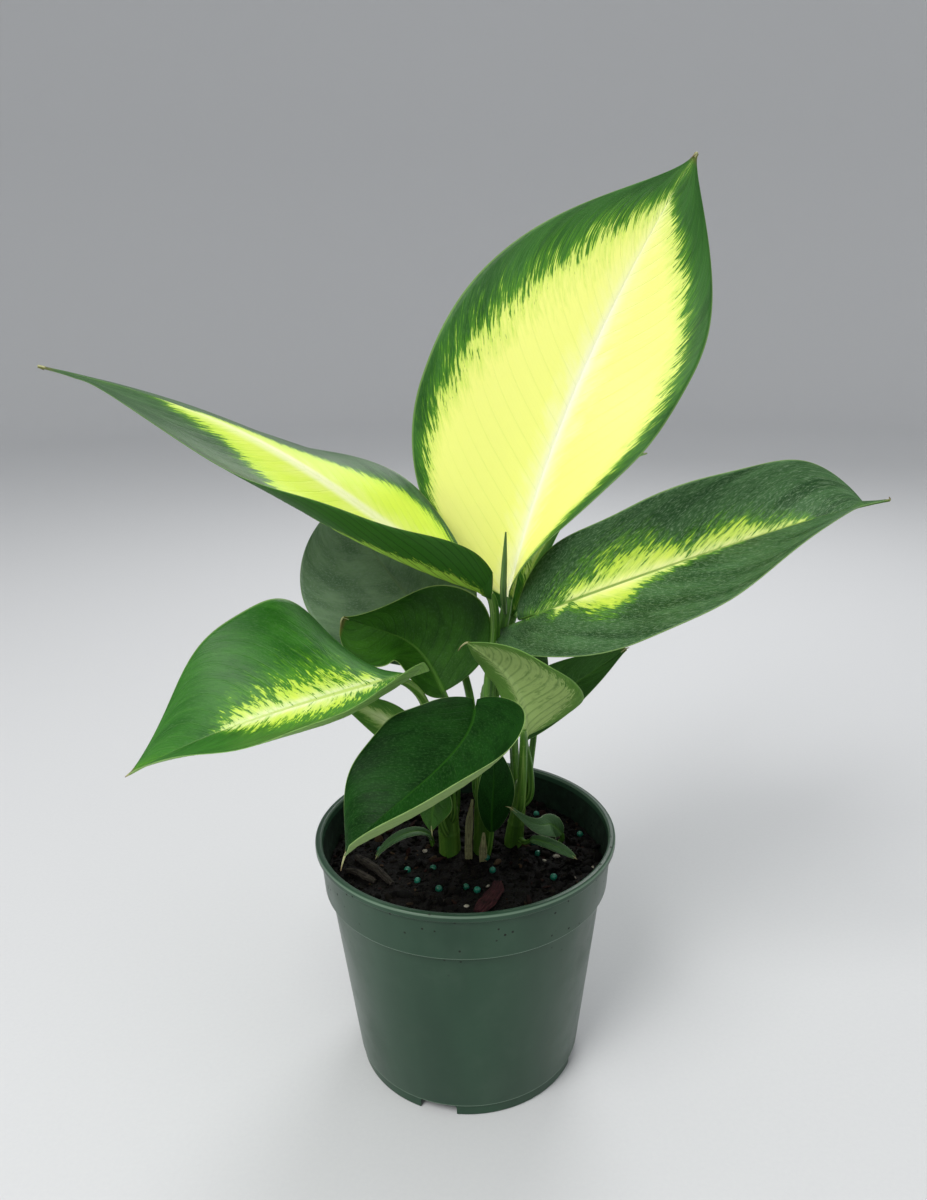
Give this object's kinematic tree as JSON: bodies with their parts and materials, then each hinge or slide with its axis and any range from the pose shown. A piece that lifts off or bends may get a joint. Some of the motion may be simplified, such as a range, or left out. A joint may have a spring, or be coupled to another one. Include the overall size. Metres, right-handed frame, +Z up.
{
  "type": "potted dieffenbachia",
  "caption": "Young dieffenbachia with broad variegated leaves on short canes, growing in soil in a round tapered nursery pot that stands on its foot ring.",
  "frame": {"origin": "on the pot's axis, in the plane that the pot stands on, which is the bottom centre of the whole plant", "axes": "+Z up, along the pot's axis; -Y is the front; +X is to the right seen from the front"},
  "size_m": [0.2673, 0.1712, 0.3324],
  "materials": {
    "pot_plastic": "moulded dark green plastic with a soft shine",
    "soil": "dark damp potting mix of peat and bark",
    "bark_red": "rough reddish bark",
    "bark_grey": "rough weathered bark",
    "cane": "smooth fresh green stem",
    "dry_sheath": "dry papery leaf sheath",
    "leaf_lime": "lime yellow leaf with a green margin, satin",
    "leaf_flamed": "green leaf with a yellow flame along its midrib, satin",
    "leaf_dark": "dark green leaf, satin",
    "leaf_green": "mid green leaf, satin",
    "leaf_pale": "pale green leaf, satin"
  },
  "bodies": {
    "root": {"pot": "pot_plastic", "soil": "soil", "bark_chip": "bark_red", "bark_twig_long": "bark_grey", "bark_twig_short": "bark_grey", "cane_left": "cane", "cane_centre": "cane", "cane_right": "cane", "dry_sheath_1": "dry_sheath", "dry_sheath_2": "dry_sheath", "leaf_upright": "leaf_lime", "leaf_long_left": "leaf_lime", "leaf_right": "leaf_dark", "leaf_low_left": "leaf_flamed", "leaf_front": "leaf_dark", "leaf_back_left": "leaf_dark", "leaf_cupped": "leaf_green", "leaf_pale": "leaf_pale", "leaf_right_small": "leaf_dark", "leaf_behind_pale": "leaf_dark", "leaf_back": "leaf_green", "leaf_striped": "leaf_pale", "leaf_under_front": "leaf_green", "leaf_between_canes": "leaf_dark", "seedling_leaf_left": "leaf_pale", "seedling_leaf_right": "leaf_pale", "seedling_leaf_low": "leaf_pale", "rolled_leaf": "leaf_green"}
  },
  "joints": []
}
